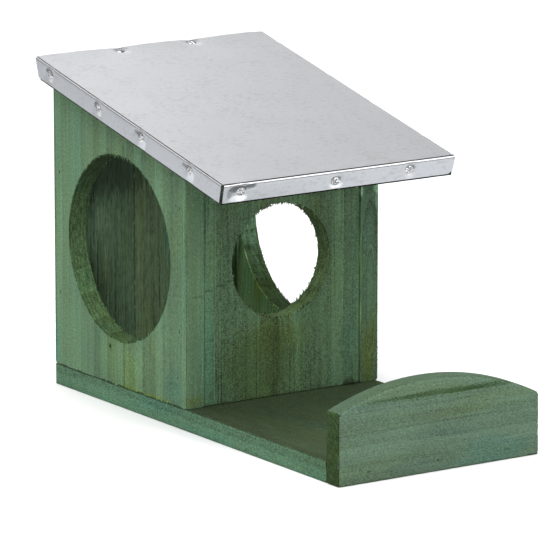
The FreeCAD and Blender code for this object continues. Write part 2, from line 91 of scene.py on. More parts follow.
# The roof board, whose back end is cut aslant near its corners, in line with the flanges' ends
BOARD_CLEARANCE = 0.05 * MM
ROOF_BOARD = 11 * MM
ROOF_BOARD_CELL = 2 * MM
BOARD_END = 14 * MM
BOARD_CORNER = 58 * MM
BOARD_CORNER_FADE = 10 * MM
SLANT_RUN = 6
SLANT_DROP = 10.6

# Clout nails, placed by their run up the slope or their place across the sheet.
# Those of the front flange also have their own drop below the fold.
FLANGE_NAIL_DROP = 4.6 * MM
SIDE_NAIL_RUNS = (32.2 * MM, 81.1 * MM, 126.5 * MM, 178.0 * MM)
FRONT_NAILS = ((-63.5 * MM, 4.8 * MM), (-2.3 * MM, 6.2 * MM), (46.5 * MM, 5.0 * MM))
FRONT_HEAD_SPREAD = 1.16
BACK_NAILS = (-22.5 * MM, 25.2 * MM)
BACK_NAIL_SETBACK = 3.5 * MM
NAIL_SUNK = 0.5 * MM
HEAD_RADIUS = 2.6 * MM
HEAD_THICKNESS = 0.75 * MM
SHANK_RADIUS = 1.13 * MM
SHANK_LENGTH = 13.6 * MM
POINT_LENGTH = 2.4 * MM
POINT_RADIUS = 0.14 * MM

# Camera, as the photograph was taken: far away with a long lens, looking a little down
CAMERA_PLACE = (-1.579997, -2.340591, 0.695012)
CAMERA_YAW = 0.59014
CAMERA_PITCH = 0.213276
CAMERA_LENS = 352.061
CAMERA_SENSOR = 36

# Brightness of the studio round the box, and its softboxes: place, side and power
FLOOR_WHITE = 0.86
FLOOR_HALF = 20
BACKDROP_LIGHT = 0.8
ROOM_LIGHT = 0.35
CEILING_LIGHT = 0.08
BOX_MIDDLE = Vector((0, 0, 0.08))
SOFTBOXES = (
    ("key_softbox", (-1.6, -1.5, 1.8), 1.2, 46),
    ("top_softbox", (-0.1, 0.1, 2.4), 1.4, 50),
    ("back_panel", (0.4, 1.35, 0.95), 1.0, 1.4),
    ("back_right_panel", (0.7, 1.25, 1.0), 1.0, 0.65),
    ("right_softbox", (1.35, -1.15, 1.35), 1.5, 22),
    ("back_left_softbox", (-0.8, 1.3, 1.5), 0.8, 3.5),
)


# Camera, floor and light


def new_object(name, data):
    """Puts a mesh, a lamp or a camera into the scene."""
    item = bpy.data.objects.new(name, data)
    bpy.context.scene.collection.objects.link(item)
    return item


def make_camera():
    lens = bpy.data.cameras.new("camera")
    lens.sensor_width = CAMERA_SENSOR
    lens.lens = CAMERA_LENS
    lens.clip_end = 100
    camera = new_object("camera", lens)
    camera.location = CAMERA_PLACE
    camera.rotation_euler = (math.pi / 2 - CAMERA_PITCH, 0, -CAMERA_YAW)
    bpy.context.scene.camera = camera


def make_floor():
    bm = bmesh.new()
    bmesh.ops.create_grid(bm, x_segments=1, y_segments=1, size=FLOOR_HALF)
    mesh = bpy.data.meshes.new("studio_floor")
    bm.to_mesh(mesh)
    bm.free()
    finish = Finish("studio_floor_white")
    finish.feed("Base Color", (FLOOR_WHITE, FLOOR_WHITE, FLOOR_WHITE, 1))
    finish.feed("Roughness", 0.9)
    finish.feed("Specular IOR Level", 0.1)
    mesh.materials.append(finish.material)
    floor = new_object("studio_floor", mesh)


def soft_light(name, place, side, power):
    """A square softbox that looks at the box."""
    light = bpy.data.lights.new(name, "AREA")
    light.shape = "SQUARE"
    light.size = side
    light.energy = power
    lamp = new_object(name, light)
    lamp.location = place
    lamp.rotation_euler = (BOX_MIDDLE - Vector(place)).to_track_quat("-Z", "Y").to_euler()


def make_light():
    """A white backdrop behind and to the left, a dimmer room in front, and softboxes."""
    world = bpy.data.worlds.new("studio")
    world.use_nodes = True
    studio = Nodes(world.node_tree)
    way = studio.node("TexCoord", {}).outputs["Generated"]
    parts = studio.node("SeparateXYZ", {0: way}).outputs
    behind = studio.total(parts["Y"], studio.times(parts["X"], -0.6))
    walls = studio.between(behind, -0.5, 0.4, ROOM_LIGHT, BACKDROP_LIGHT)
    overhead = studio.between(parts["Z"], 0.6, 0.72)
    ceiling = studio.times(overhead, studio.between(parts["Y"], -0.2, 0.0))
    strength = studio.total(
        studio.times(walls, studio.math("SUBTRACT", 1.0, ceiling)),
        studio.times(ceiling, CEILING_LIGHT),
    )
    background = world.node_tree.nodes["Background"]
    studio.put(background.inputs["Color"], (0.98, 0.99, 1, 1))
    studio.put(background.inputs["Strength"], strength)
    bpy.context.scene.world = world
    bpy.context.scene.view_settings.view_transform = "Standard"
    for softbox in SOFTBOXES:
        soft_light(*softbox)


# Finishes: a short way to add a material's nodes


class Nodes:
    """Short ways to add nodes to a node tree."""

    def __init__(self, tree):
        self.tree = tree

    def put(self, socket, value):
        """Links another socket to this one, or sets it to a constant."""
        if isinstance(value, bpy.types.NodeSocket):
            self.tree.links.new(value, socket)
        else:
            socket.default_value = value

    def node(self, kind, inputs, **settings):
        node = self.tree.nodes.new("ShaderNode" + kind)
        for name, value in settings.items():
            setattr(node, name, value)
        for name, value in inputs.items():
            self.put(node.inputs[name], value)
        return node

    def math(self, operation, *values):
        return self.node("Math", dict(enumerate(values)), operation=operation).outputs[0]

    def vector(self, operation, *values):
        node = self.node("VectorMath", dict(enumerate(values)), operation=operation)
        return node.outputs["Value" if operation in ("LENGTH", "DOT_PRODUCT") else "Vector"]

    def chain(self, operation, values):
        result = values[0]
        for value in values[1:]:
            result = self.math(operation, result, value)
        return result

    def total(self, *values):
        return self.chain("ADD", values)

    def times(self, *values):
        return self.chain("MULTIPLY", values)

    def scaled(self, colour, share):
        return self.node("VectorMath", {0: colour, "Scale": share}, operation="SCALE").outputs[0]

    def noise(self, coords, stretch, detail=3, roughness=0.5, output="Fac"):
        stretched = self.vector("MULTIPLY", coords, stretch)
        inputs = {"Vector": stretched, "Scale": 1, "Detail": detail, "Roughness": roughness}
        return self.node("TexNoise", inputs).outputs[output]

    def between(self, value, low, high, to_low=0.0, to_high=1.0):
        """A smooth step from to_low to to_high as value passes from low to high."""
        inputs = {"Value": value, "From Min": low, "From Max": high, "To Min": to_low, "To Max": to_high}
        return self.node("MapRange", inputs, interpolation_type="SMOOTHSTEP").outputs[0]

    def centred(self, value, weight):
        """A noise value of 0 to 1 turned into a swing about nought."""
        return self.times(self.math("SUBTRACT", value, 0.5), weight)

    def ramp(self, value, stops):
        node = self.node("ValToRGB", {"Fac": value})
        band = node.color_ramp
        while len(band.elements) < len(stops):
            band.elements.new(0.5)
        for element, (position, colour) in zip(band.elements, stops):
            element.position = position
            element.color = (*colour, 1)
        return node.outputs["Color"]

    def mix(self, amount, under, over, blend="MIX"):
        node = self.node("Mix", {0: amount}, data_type="RGBA", blend_type=blend)
        for socket, value in zip(node.inputs[6:8], (under, over)):
            self.put(socket, (*value, 1) if isinstance(value, tuple) else value)
        return node.outputs[2]

    def tinted(self, amount, colour, tint):
        return self.mix(amount, colour, tint, "MULTIPLY")


class Finish(Nodes):
    """A material and the nodes that feed its surface."""

    def __init__(self, name):
        self.material = bpy.data.materials.new(name)
        self.material.use_nodes = True
        super().__init__(self.material.node_tree)
        self.surface = self.tree.nodes["Principled BSDF"]

    def place(self):
        """The object's own coordinates in millimetres, and the surface's normal."""
        coords = self.node("TexCoord", {}).outputs
        return self.vector("MULTIPLY", coords["Object"], (1 / MM,) * 3), coords["Normal"]

    def attribute(self, name):
        return self.node("Attribute", {}, attribute_name=name).outputs["Fac"]

    def feed(self, name, value):
        self.put(self.surface.inputs[name], value)

    def bump(self, height, distance, strength=1.0):
        inputs = {"Height": height, "Distance": distance, "Strength": strength}
        self.feed("Normal", self.node("Bump", inputs).outputs["Normal"])


# Turns that lay a board's grain along Z in its material
GRAIN_TURN = {"X": (0, -math.pi / 2, 0), "Y": (math.pi / 2, 0, 0), "Z": (0, 0, 0)}

# Where the stain runs bluer or yellower, as a share of the wood's own colour
TEAL = (0.72, 0.98, 1.16)
OLIVE = (1.02, 0.95, 0.58)
DARK_STREAK = (0.6, 0.66, 0.5)
CRACK = (0.55, 0.62, 0.55)
TORN = (0.4, 0.42, 0.36)
FUZZY = (0.32, 0.34, 0.24)
CHIPPED = (2.6, 2.2, 2.8)
TAN = (2.6, 1.9, 1.5)

# Specks in the wood, by their cells to the millimetre, size and colour:
# pale grains where the stain missed, and dark pores
SPECKS = (
    ((0.3, 0.3, 0.22), 0.1, (0.36, 0.42, 0.27)),
    ((0.4, 0.4, 0.2), 0.15, (0.01, 0.02, 0.01)),
)
PALE_WOOD = (0.34, 0.38, 0.24)

# The sheet's greys. Its flanges are darkened a little by painted shade, so that they look duller than its
# face.
ZINC = ((0.1, (0.51, 0.515, 0.53)), (0.5, (0.56, 0.565, 0.58)), (0.9, (0.61, 0.615, 0.63)))
FLANGE_PAINTED_SHADE = (0.735, 0.76, 0.785)


def growth_rings(finish, laid, own, pith, lean, pitch):
    """Rings about the pith, which wanders a little along the grain. Gives a random value for
    each ring, its dark late wood and the pale line at the start of some rings."""
    wander = finish.noise(own, (0.02, 0.02, 0.004), detail=2, output="Color")
    wander = finish.vector("MULTIPLY", finish.vector("SUBTRACT", wander, (0.5,) * 3), (9, 9, 0))
    along_grain = finish.node("SeparateXYZ", {0: laid}).outputs["Z"]
    drift = finish.node("CombineXYZ", {"Y": finish.times(along_grain, lean)}).outputs[0]
    place = finish.vector("ADD", finish.vector("ADD", laid, wander), drift)
    from_pith = finish.vector("SUBTRACT", place, (*pith, 0))
    reach = finish.vector("LENGTH", finish.vector("MULTIPLY", from_pith, (1, 1, 0)))
    ring = finish.math("DIVIDE", reach, pitch)
    count = finish.math("FLOOR", ring)
    band = finish.node("TexWhiteNoise", {"W": count}, noise_dimensions="1D").outputs["Value"]
    through = finish.math("FRACT", ring)
    late = finish.ramp(through, ((0, (0, 0, 0)), (0.5, (0.05,) * 3), (0.9, (1, 1, 1)), (0.95, (0, 0, 0))))
    pale_line = finish.times(finish.between(through, 0.93, 0.98), finish.between(band, 0.4, 0.6))
    return band, late, pale_line


def stained_wood(
    name, grain, body, seed, pith=(0, -400), lean=0.0, ring_pitch=7.0, ring_tone=0.34, late_wood=0.08,
    fibre_tone=0.4, fuzz_tone=1.5, fuzz_run=0.8, blotch_tone=0.3, teal=0.3, olive=0.35, grain_lines=0.16,
    cut_tone=(0.56, 0.54, 0.42), bore="X", hole_foot_painted_light=1.75, top_stain_and_painted_shade=(1, 1, 1), patches=(),
):
    """Sawn softwood under a thin green stain. pith is where the tree's middle lies across
    the grain, in millimetres in the laid frame, whose Z runs along the grain, and lean is
    how much it drifts along Y. The walls of holes show saw marks round the bore's axis.
    Each patch is a spot in the object's millimetres, its half sizes, its tint and its strength."""
    finish = Finish(name)
    spot, normal = finish.place()
    upwards = finish.node("SeparateXYZ", {0: normal}).outputs["Z"]
    laid = finish.node("Mapping", {"Vector": spot, "Rotation": GRAIN_TURN[grain]}).outputs["Vector"]
    own = finish.vector("ADD", laid, (seed * 37.0, seed * 91.0, seed * 53.0))
    band, late, pale_line = growth_rings(finish, laid, own, pith, lean, ring_pitch)

    # Fibres, sawn fuzz, thin dark lines and blotches
    fibre = finish.noise(own, (0.7, 0.7, 0.02), detail=4, roughness=0.65)
    fuzz = finish.noise(own, (1.5, 1.5, fuzz_run), detail=4, roughness=0.8)
    blotch = finish.noise(own, (0.04, 0.04, 0.016), roughness=0.55)
    streak = finish.noise(own, (0.35, 0.35, 0.03))
    line = finish.noise(finish.vector("ADD", own, (10.0, 60.0, 40.0)), (0.8, 0.8, 0.008), detail=2)
    tone = finish.total(
        1.0,
        finish.between(line, 0.6, 0.7, 0.0, -grain_lines),
        finish.centred(band, ring_tone),
        finish.times(late, -late_wood),
        finish.times(pale_line, ring_tone),
        finish.centred(fibre, 2 * fibre_tone),
        finish.centred(fuzz, 2 * fuzz_tone),
        finish.centred(blotch, 2 * blotch_tone),
    )
    colour = finish.scaled(body, tone)

    # The stain's own unevenness, painted shade on upward-facing faces, and patches, most of them stain and
    # some of them painted light and painted shade
    hue = finish.total(finish.noise(own, (0.07, 0.07, 0.012), detail=4), finish.centred(band, 0.16))
    colour = finish.tinted(finish.between(hue, 0.52, 0.68, 0.0, teal), colour, TEAL)
    colour = finish.tinted(finish.between(hue, 0.48, 0.34, 0.0, olive), colour, OLIVE)
    # Upward-facing faces are darkened by painted shade, and on the base also browned by the stain
    colour = finish.tinted(finish.between(upwards, 0.4, 0.9), colour, top_stain_and_painted_shade)
    ragged = finish.total(finish.centred(fuzz, 1.2), finish.centred(streak, 1.6))
    for middle, half, tint, strength in patches:
        offset = finish.vector("DIVIDE", finish.vector("SUBTRACT", spot, middle), half)
        edge = finish.total(finish.vector("LENGTH", offset), ragged)
        colour = finish.tinted(finish.between(edge, 0.45, 1.15, strength, 0.0), colour, tint)
    for cells, size, tint in SPECKS:
        cell_place = finish.vector("MULTIPLY", own, cells)
        dots = finish.node("TexVoronoi", {"Vector": cell_place, "Scale": 1}).outputs
        chosen = finish.between(finish.vector("DOT_PRODUCT", dots["Color"], (1, 0, 0)), 0.5, 0.6)
        dot = finish.between(dots["Distance"], 0.3 * size, size, 0.6, 0.0)
        colour = finish.mix(finish.times(chosen, dot), colour, tint)

    # End grain drinks more stain and shows slanting strokes, the walls of holes show saw marks. A hole's wall
    # also carries painted light where it faces up and painted shade where it faces down.
    along = finish.math("ABSOLUTE", finish.vector("DOT_PRODUCT", normal, grain_vector(grain)))
    sawn = finish.attribute("sawn")
    cut = finish.math("MAXIMUM", finish.between(along, 0.6, 0.85), sawn)
    slant = finish.node("Mapping", {"Vector": own, "Rotation": (0, 0, math.radians(55))}).outputs[0]
    saw_stretch = tuple(0.9 if letter == bore else 0.16 for letter in AXIS_LETTERS)
    strokes = finish.noise(slant, (0.22, 1.0, 0.6), roughness=0.7)
    strokes = finish.mix(sawn, strokes, finish.noise(spot, saw_stretch, roughness=0.7))
    shade = finish.between(upwards, -0.9, 0.7, 0.5, hole_foot_painted_light)
    swing = finish.total(1.0, finish.centred(strokes, 2.8), finish.centred(fuzz, 0.8))
    cut_colour = finish.scaled(finish.tinted(1.0, colour, cut_tone), finish.times(shade, swing))
    colour = finish.mix(cut, colour, cut_colour)

    # Worn arrises and torn rims: dark fuzz, with lighter wood where a chip has gone
    wear = finish.attribute("wear")
    torn = finish.noise(own, (1.1, 1.1, 0.5), roughness=0.7)
    fuzzy = finish.between(finish.times(wear, finish.total(torn, 0.2)), 0.25, 0.6, 0.0, 0.85)
    colour = finish.tinted(fuzzy, colour, FUZZY)
    elsewhere = finish.vector("ADD", own, (50.0, 20.0, 80.0))
    chips = finish.times(wear, finish.noise(elsewhere, (0.5, 0.5, 0.22), roughness=0.7))
    colour = finish.mix(finish.between(chips, 0.56, 0.64, 0.0, 0.7), colour, PALE_WOOD)
    colour = finish.scaled(colour, finish.total(finish.attribute("fray"), 1.0))

    finish.feed("Base Color", colour)
    finish.feed("Roughness", finish.between(fibre, 0.3, 0.7, 0.72, 0.9))
    finish.feed("Specular IOR Level", finish.between(cut, 0.0, 1.0, 0.25, 0.08))
    rough = finish.times(strokes, cut, 1.5)
    finish.bump(finish.total(finish.times(fibre, 0.5), fuzz, finish.times(late, 0.15), rough), 0.5 * MM)
    return finish.material


def grain_vector(grain):
    return [1.0 if letter == grain else 0.0 for letter in AXIS_LETTERS]


def galvanised_sheet():
    """Zinc-coated sheet: satin and even, with faint short flecks and scuffs where it was hammered, painted
    shade and painted highlights round the nails' dents, and painted shade on its flanges, underside and fold
    lines.
    """
    finish = Finish("galvanised_sheet")
    laid, normal = finish.place()
    cloud = finish.noise(laid, (0.045, 0.03, 0.03), detail=4, roughness=0.6)
    grit = finish.noise(laid, (0.75, 1.1, 0.9), roughness=0.6)
    grey = finish.total(0.5, finish.centred(cloud, 0.5), finish.centred(grit, 0.5))
    fleck = finish.noise(laid, (0.28, 0.75, 0.6), roughness=0.65)
    where = finish.noise(finish.vector("ADD", laid, (70.0, 30.0, 0.0)), (0.07, 0.05, 0.05), detail=2)
    dull = finish.between(finish.total(fleck, finish.centred(where, 0.3)), 0.52, 0.66, 0.0, 0.5)
    colour = finish.mix(dull, finish.ramp(grey, ZINC), (0.42, 0.405, 0.41))

    # Round the nails: dark scuffs with painted shade above each dent, and bright places with a painted
    # highlight below it
    scuff_and_painted_shade = finish.attribute("scuff_and_painted_shade")
    rub_and_painted_highlight = finish.attribute("rub_and_painted_highlight")
    scratch = finish.noise(laid, (1.0, 1.0, 1.3), roughness=0.8)
    dark = finish.between(finish.times(scuff_and_painted_shade, finish.total(scratch, 0.3)), 0.15, 0.6, 0.0, 0.9)
    colour = finish.mix(dark, colour, (0.13, 0.14, 0.145))
    shine = finish.total(finish.times(scratch, 0.7), 0.55)
    bright = finish.between(finish.times(rub_and_painted_highlight, shine), 0.25, 0.75, 0.0, 0.9)
    colour = finish.mix(bright, colour, (0.9, 0.91, 0.92))

    # Painted shade on the flanges and on the underside and the cut edges that face down, a painted dark line
    # where each fold starts, and a polished bend at each fold
    up_slope = (0, -math.sin(ROOF_SLOPE), math.cos(ROOF_SLOPE))
    lying = finish.vector("DOT_PRODUCT", normal, up_slope)
    standing = finish.between(finish.math("ABSOLUTE", lying), 0.05, 0.25, 1.0, 0.0)
    colour = finish.tinted(standing, colour, FLANGE_PAINTED_SHADE)
    colour = finish.mix(finish.between(lying, -0.5, -0.3, 1.0, 0.0), colour, (0.12, 0.13, 0.12))
    colour = finish.mix(finish.times(finish.attribute("fold_painted_shade"), 0.85), colour, (0.1, 0.1, 0.11))
    folded = finish.attribute("folded")
    colour = finish.tinted(folded, colour, (0.66, 0.66, 0.66))

    finish.feed("Base Color", colour)
    finish.feed("Metallic", 1.0)
    polish = finish.between(folded, 0.0, 1.0, 1.0, 0.4)
    finish.feed("Roughness", finish.times(finish.between(cloud, 0.3, 0.7, 0.32, 0.4), polish))
    battered = finish.times(scratch, finish.math("MAXIMUM", scuff_and_painted_shade, rub_and_painted_highlight))
    finish.bump(finish.total(cloud, finish.times(battered, 3.0)), 0.1 * MM, 0.4)
    return finish.material


def steel(name, colour, roughness):
    """Steel with spots of dark grime."""
    finish = Finish(name)
    grime = finish.noise(finish.place()[0], (1.1, 1.1, 1.1), roughness=0.75)
    darker = tuple(0.2 * part for part in colour)
    finish.feed("Base Color", finish.mix(finish.between(grime, 0.42, 0.58), darker, colour))
    finish.feed("Metallic", 1.0)
    finish.feed("Roughness", finish.between(grime, 0.3, 0.7, roughness + 0.15, roughness))
    finish.bump(grime, 0.2 * MM, 0.6)
    return finish.material


# Making a piece


def finish_piece(bm, name, node, material, smooth_below=40):
    """Turns a bmesh into the piece that stands for a CAD node."""
    bmesh.ops.recalc_face_normals(bm, faces=bm.faces)
    mesh = bpy.data.meshes.new(name)
    bm.to_mesh(mesh)
    bm.free()
    mesh.shade_smooth()
    mesh.set_sharp_from_angle(angle=math.radians(smooth_below))
    mesh.materials.append(material)
    piece = new_object(name, mesh)
    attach(piece, "root")
    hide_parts(node)


def joined_box(*nodes):
    """The box around several CAD nodes."""
    lows, highs = zip(*(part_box(node) for node in nodes))
    low = Vector([min(parts) for parts in zip(*lows)])
    high = Vector([max(parts) for parts in zip(*highs)])
    return low, high


def block(low, high):
    """A plain block between two corners."""
    bm = bmesh.new()
    spread = Matrix.Diagonal((*(high - low), 1))
    bmesh.ops.create_cube(bm, size=1, matrix=Matrix.Translation((low + high) / 2) @ spread)
    return bm


def cone(bm, sides, near, far, length, matrix):
    """Adds a closed cone with the radii near and far and returns its vertices."""
    return bmesh.ops.create_cone(
        bm, cap_ends=True, segments=sides, radius1=near, radius2=far, depth=length, matrix=matrix
    )["verts"]


def verts_in(geom):
    return [item for item in geom if isinstance(item, bmesh.types.BMVert)]


def edges_in(geom):
    return [item for item in geom if isinstance(item, bmesh.types.BMEdge)]


def top_edges(bm, high):
    """The edges round a block's top."""
    return [edge for edge in bm.edges if all(vert.co.z > high.z - 1e-6 for vert in edge.verts)]


def sharp_edges(bm):
    return [edge for edge in bm.edges if edge.calc_face_angle(0) > SHARP]


def roof_underside(y):
    """Height of the walls' sloping tops at a depth y."""
    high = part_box("back_wall_left_strip")[1]
    return high.z - (high.y - ARRIS - y) * math.tan(ROOF_SLOPE)


def cut_under_roof(bm):
    """Cuts a side wall's top to the roof's slope."""
    top = Vector((0, 0, roof_underside(0)))
    upwards = Vector((0, -math.sin(ROOF_SLOPE), math.cos(ROOF_SLOPE)))
    geom = bm.verts[:] + bm.edges[:] + bm.faces[:]
    cut = bmesh.ops.bisect_plane(bm, geom=geom, plane_co=top, plane_no=upwards, clear_outer=True)
    bmesh.ops.holes_fill(bm, edges=edges_in(cut["geom_cut"]), sides=0)


def plane_top(bm, high, reach=12 * MM):
    """Draws the top cells of a front or back wall down to the roof's slope."""
    start = high.z - reach
    for vert in bm.verts:
        if vert.co.z > start:
            vert.co.z = start + (vert.co.z - start) * (roof_underside(vert.co.y) - start) / reach


def break_edges(bm, edges, width, segments, clamp=True):
    bmesh.ops.bevel(
        bm, geom=edges, offset=width, offset_type="OFFSET", affect="EDGES", segments=segments, profile=0.5,
        clamp_overlap=clamp, material=-1,
    )


def cut_cells(bm, low, high, cell=BOARD_CELL):
    """Divides a board's faces into small even cells, so that they can be worn and waved."""
    for axis in (X, Y, Z):
        cuts = max(1, round((high[axis] - low[axis]) / cell)) - 1
        long_edges = []
        for edge in bm.edges:
            run = edge.verts[1].co - edge.verts[0].co
            if run.length > 3 * MM and abs(run[axis]) > 0.95 * run.length:
                long_edges.append(edge)
        bmesh.ops.subdivide_edges(bm, edges=long_edges, cuts=cuts, use_grid_fill=True)


def blank(nodes, sawn_top):
    """A board with its arrises broken, divided into cells. A side wall's top is sawn to the
    roof's slope, and a front or back wall's is planed to it later."""
    low, high = joined_box(*nodes)
    bm = block(low, high)
    if sawn_top:
        cut_under_roof(bm)
    break_edges(bm, bm.edges[:], ARRIS, ARRIS_SEGMENTS)
    cut_cells(bm, low, high)
    return bm, low, high


def off_axis(point, centre, axis):
    """The part of point - centre that lies square to the axis."""
    offset = point - centre
    offset[axis] = 0
    return offset


def in_order(edges):
    """The vertices round a closed loop of edges, one after another."""
    ring = [edges[0].verts[0]]
    edge = edges[0]
    loop = set(edges)
    while True:
        vert = edge.other_vert(ring[-1])
        if vert is ring[0]:
            return ring
        ring.append(vert)
        edge = next(other for other in vert.link_edges if other in loop and other is not edge)


def grow_ring(bm, ring, places):
    """Extrudes a closed ring of vertices to new places and returns the new ring."""
    edges = [bm.edges.get(pair) for pair in zip(ring, ring[1:] + ring[:1])]
    fresh = set(verts_in(bmesh.ops.extrude_edge_only(bm, edges=edges)["geom"]))
    grown = []
    for vert, place in zip(ring, places):
        twin = next(edge.other_vert(vert) for edge in vert.link_edges if edge.other_vert(vert) in fresh)
        twin.co = place
        grown.append(twin)
    return grown


def even_directions(ring, centre, axis):
    """Unit directions square to the axis, evenly turned, that follow a ring round its centre."""
    spokes = [off_axis(vert.co, centre, axis) for vert in ring]
    square = Vector(grain_vector(AXIS_LETTERS[axis]))
    turning = sum(square.dot(here.cross(there)) for here, there in zip(spokes, spokes[1:]))
    step = math.copysign(2 * math.pi / len(ring), turning)
    first = spokes[0].normalized()
    return [Matrix.Rotation(step * index, 3, square) @ first for index in range(len(ring))]


def cut_round_hole(bm, axis, centre, radius, rings=4, round_over=0.45 * MM):
    """Cuts a hole through a board: rings of cells about each rim, and more down its wall."""
    sawn = bm.verts.layers.float.new("sawn")
    reach = radius + rings * BOARD_CELL
    doomed = []
    for face in bm.faces:
        middle = face.calc_center_median()
        if abs(face.normal[axis]) > 0.9 and off_axis(middle, centre, axis).length < reach:
            doomed.append(face)
    bmesh.ops.delete(bm, geom=doomed, context="FACES")
    near = min(vert.co[axis] for vert in bm.verts)
    far = max(vert.co[axis] for vert in bm.verts)
    middle = (near + far) / 2
    border = in_order([edge for edge in bm.edges if edge.is_boundary and edge.verts[0].co[axis] < middle])
    outline = [vert.co.copy() for vert in border]
    outwards = even_directions(border, centre, axis)

    def levelled(places, level):
        for place in places:
            place[axis] = level
        return places

    def circle(radius, level):
        return levelled([centre + direction * radius for direction in outwards], level)

    def flat_ring(step, level):
        """A ring part of the way from the rim out to the even cells."""
        rim = circle(radius + round_over, level)
        return levelled([place.lerp(corner, step / rings) for place, corner in zip(rim, outline)], level)

    corner_cut = round_over * (1 - math.sqrt(0.5))
    near_rim = [(radius + corner_cut, near + corner_cut), (radius, near + round_over)]
    far_rim = [(radius, far - round_over), (radius + corner_cut, far - corner_cut)]
    wall_steps = round((far - near) / BOARD_CELL)
    deep = far - near - 2 * round_over
    down_wall = [(radius, near + round_over + deep * step / wall_steps) for step in range(1, wall_steps)]
    ring = border
    for step in range(rings - 1, -1, -1):
        ring = grow_ring(bm, ring, flat_ring(step, near))
    for ring_radius, level in near_rim + down_wall + far_rim:
        ring = grow_ring(bm, ring, circle(ring_radius, level))
        for vert in ring:
            vert[sawn] = 1.0
    for step in range(rings + 1):
        ring = grow_ring(bm, ring, flat_ring(step, far))
    bmesh.ops.remove_doubles(bm, verts=[vert for vert in bm.verts if vert.is_boundary], dist=0.01 * MM)


def sharpness(vert):
    """The largest angle between a vertex's normal and a face round it."""
    return max((vert.normal.angle(face.normal, 0) for face in vert.link_faces), default=0)


def shift(bm, moves):
    for vert, move in zip(bm.verts, moves):
        vert.co += move


def weather(bm, grain, seed, wave=0.12 * MM, chip=0.5 * MM):
    """Waves a board's faces a little along the grain and chips its arrises and rims.
    Every move goes into the wood. The wear attribute marks what was chipped."""
    bm.normal_update()
    wear = bm.verts.layers.float.new("wear")
    along = Vector((1, 1, 1))
    along[AXIS_LETTERS.index(grain)] = 0.25
    start = Vector((seed * 3.7, seed * 1.3, seed * 5.1))
    moves = []
    for vert in bm.verts:
        spot = vert.co * along / (18 * MM) + start
        depth = wave * (0.5 + 0.5 * noise.noise(spot))
        if sharpness(vert) > math.radians(15):
            vert[wear] = 1.0
            fray = noise.noise(vert.co * along / (1.6 * MM) + start)
            patch = noise.noise(vert.co / (9 * MM) + start)
            depth += chip * max(0.0, 0.25 + 0.5 * fray + 0.6 * patch)
        moves.append(vert.normal * -depth)
    shift(bm, moves)


def tear_rim(bm, axis, centre, radius, seed, depth=0.75 * MM):
    """Frays a hole's two rims, most where they cross the upright grain."""
    faces = [vert.co[axis] for vert in bm.verts]
    outer, inner = min(faces), max(faces)
    for vert in bm.verts:
        offset = off_axis(vert.co, centre, axis)
        from_face = min(vert.co[axis] - outer, inner - vert.co[axis])
        if abs(offset.length - radius) > 0.9 * MM or from_face > 1.2 * MM:
            continue
        across_grain = abs(offset.z) / offset.length
        spot = vert.co / (1.1 * MM) + Vector((seed, 0, 0))
        pull = depth * (0.35 + 0.65 * across_grain) * noise.noise(spot)
        vert.co += offset.normalized() * pull


def add_fibres(bm, roots, chance, longest, stout=1.0):
    """Torn fibres: slim cones that stand out of an edge. Each root is a place and a way."""
    fray = bm.verts.layers.float.get("fray") or bm.verts.layers.float.new("fray")
    for place, way in roots:
        long = longest * chance.uniform(0.3, 1.0)
        thick = chance.uniform(0.14, 0.32) * MM * stout
        tone = -0.7 if chance.random() < 0.7 else 0.9
        way = (way + Vector([chance.uniform(-0.35, 0.35) for axis in (X, Y, Z)])).normalized()
        turn = way.to_track_quat("Z", "Y").to_matrix().to_4x4()
        stand = Matrix.Translation(place + way * (long / 2 - 0.15 * MM)) @ turn
        for vert in cone(bm, 3, thick, 0.1 * thick, long, stand):
            vert[fray] = tone


def rim_roots(axis, centre, radius, levels, chance, spacing=0.9 * MM):
    """Places and ways for torn fibres round a hole in upright grain, at its rims."""
    roots = []
    for level, outwards in levels:
        for step in range(round(2 * math.pi * radius / spacing)):
            turn = 2 * math.pi * (step + chance.random()) * spacing / (2 * math.pi * radius)
            across, up = math.cos(turn), math.sin(turn)
            if chance.random() > 0.15 + 0.75 * up * up:
                continue
            spoke = Vector((across if axis == Y else 0, across if axis == X else 0, up))
            place = centre + spoke * (radius + 0.1 * MM)
            place[axis] = level - outwards * chance.uniform(0, 0.5) * MM
            way = Vector((0, 0, -math.copysign(abs(up), up))) - 0.35 * spoke
            way[axis] += outwards * 0.15
            roots.append((place, way))
    return roots


def edge_roots(low, high, way, chance, spacing=0.8 * MM):
    """Places and ways for torn fibres along a straight edge."""
    run = high - low
    roots = []
    for step in range(round(run.length / spacing)):
        if noise.noise((low + run * (step * spacing / run.length)) / (7 * MM)) > -0.15:
            place = low + run * min(1.0, (step + chance.random()) * spacing / run.length)
            roots.append((place, Vector(way)))
    return roots


def saw_apart(panel, point, square_to):
    """Two strips of a glued panel, the arrises at their seam taken off a little."""
    strips = []
    for side in (1, -1):
        strip = panel.copy()
        outwards = Vector(square_to) * side
        for setback in (3 * SEAM_GROOVE, SEAM_GROOVE, 0):
            geom = strip.verts[:] + strip.edges[:] + strip.faces[:]
            level = point - outwards * setback
            bmesh.ops.bisect_plane(
                strip, geom=geom, dist=1e-7, plane_co=level, plane_no=outwards, clear_outer=setback == 0
            )
        rim = [edge for edge in strip.edges if edge.is_boundary]
        strip.normal_update()
        wear = strip.verts.layers.float["wear"]
        for vert in {vert for edge in rim for vert in edge.verts}:
            vert.co -= vert.normal * SEAM_GROOVE
        for vert in strip.verts:
            if abs((vert.co - point).dot(outwards)) < 2 * SEAM_GROOVE:
                vert[wear] = 1.0
        bmesh.ops.holes_fill(strip, edges=rim, sides=0)
        strips.append(strip)
    panel.free()
    return strips


# The boards

BASE_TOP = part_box("base_board")[1].z


